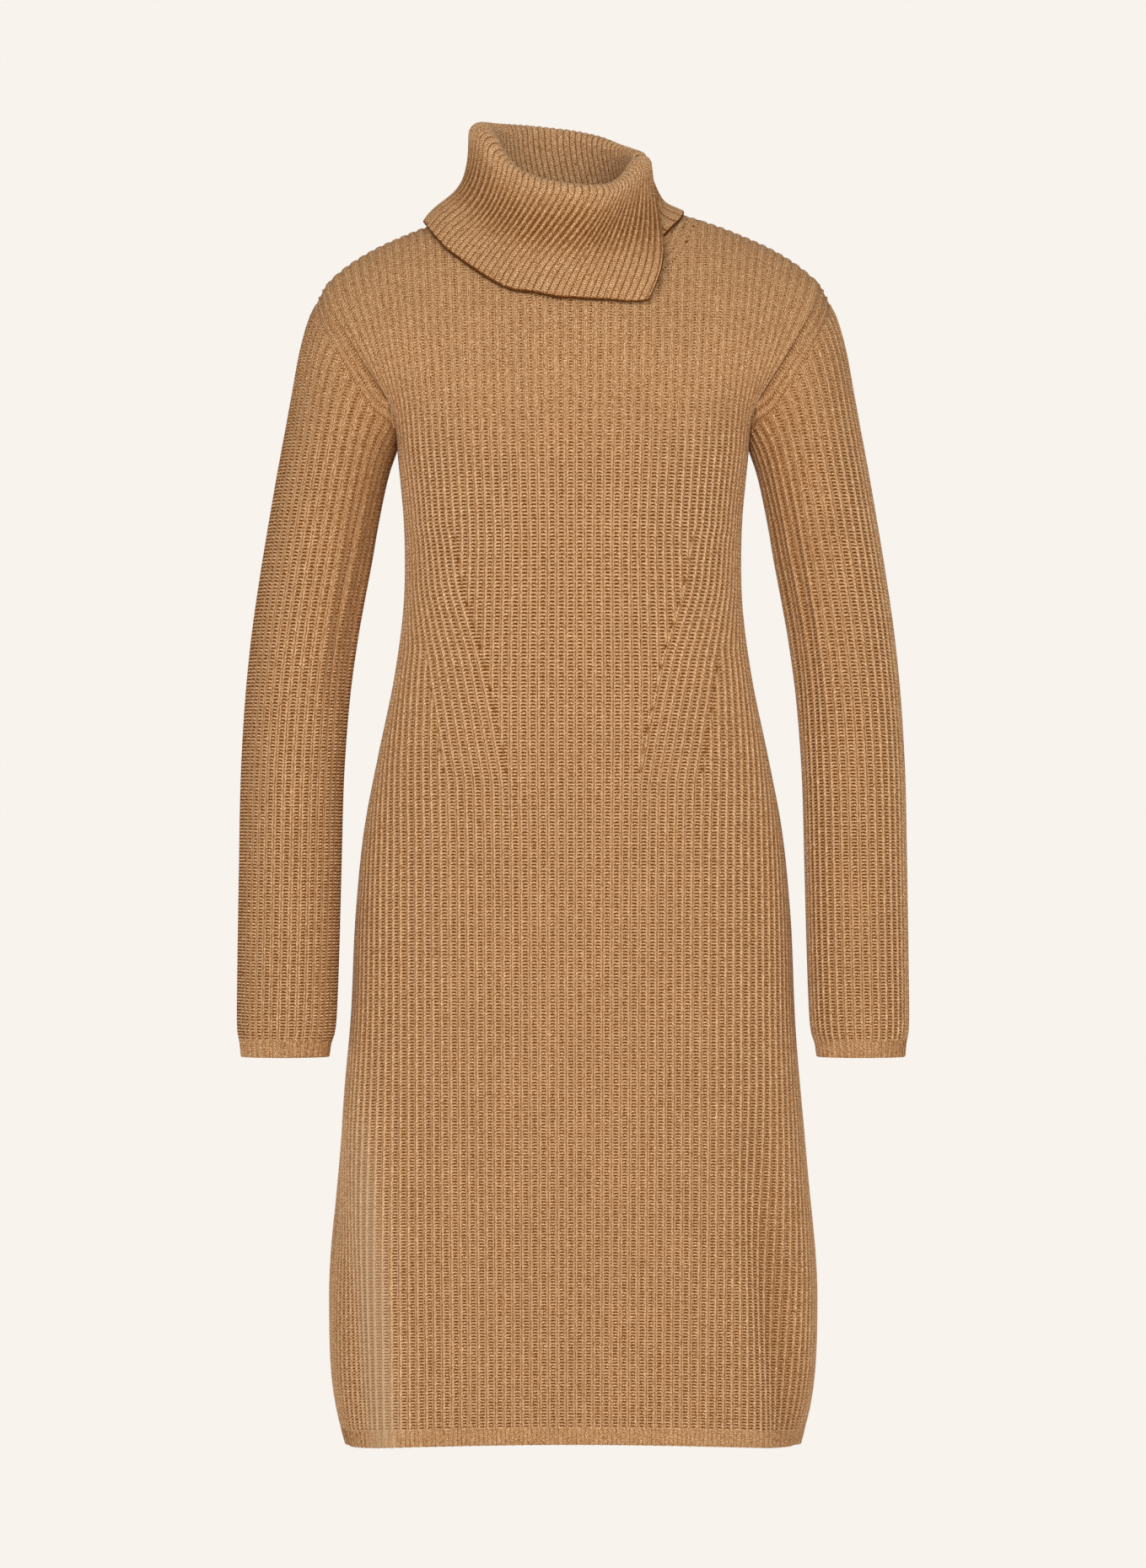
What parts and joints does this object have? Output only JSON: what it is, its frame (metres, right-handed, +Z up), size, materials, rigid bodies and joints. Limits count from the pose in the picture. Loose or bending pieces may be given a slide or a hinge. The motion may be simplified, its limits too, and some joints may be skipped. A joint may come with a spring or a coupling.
{
  "type": "sweater dress",
  "caption": "Long-sleeved rib-knit wool dress, knee length, shaped at the waist, with a folded-over collar split at the left shoulder; hollow, as worn.",
  "frame": {"origin": "on the dress's centre line, between front and back, at the height where the shoulder slope meets the side of the neck, where the wearer's shoulders carry it", "axes": "+Z up along the wearer, -Y out of the front, +X to the wearer's left"},
  "size_m": [0.5396, 0.2569, 1.0673],
  "materials": {
    "rib_knit": "camel wool in a coarse half-cardigan rib, matt with a soft nap",
    "collar_knit": "the same camel wool in a finer, tighter rib, matt with a soft nap"
  },
  "bodies": {
    "root": {"front": "rib_knit", "back": "rib_knit", "sleeve_left_upper": "rib_knit", "sleeve_left_lower": "rib_knit", "sleeve_right_upper": "rib_knit", "sleeve_right_lower": "rib_knit", "collar": "collar_knit"}
  },
  "joints": []
}
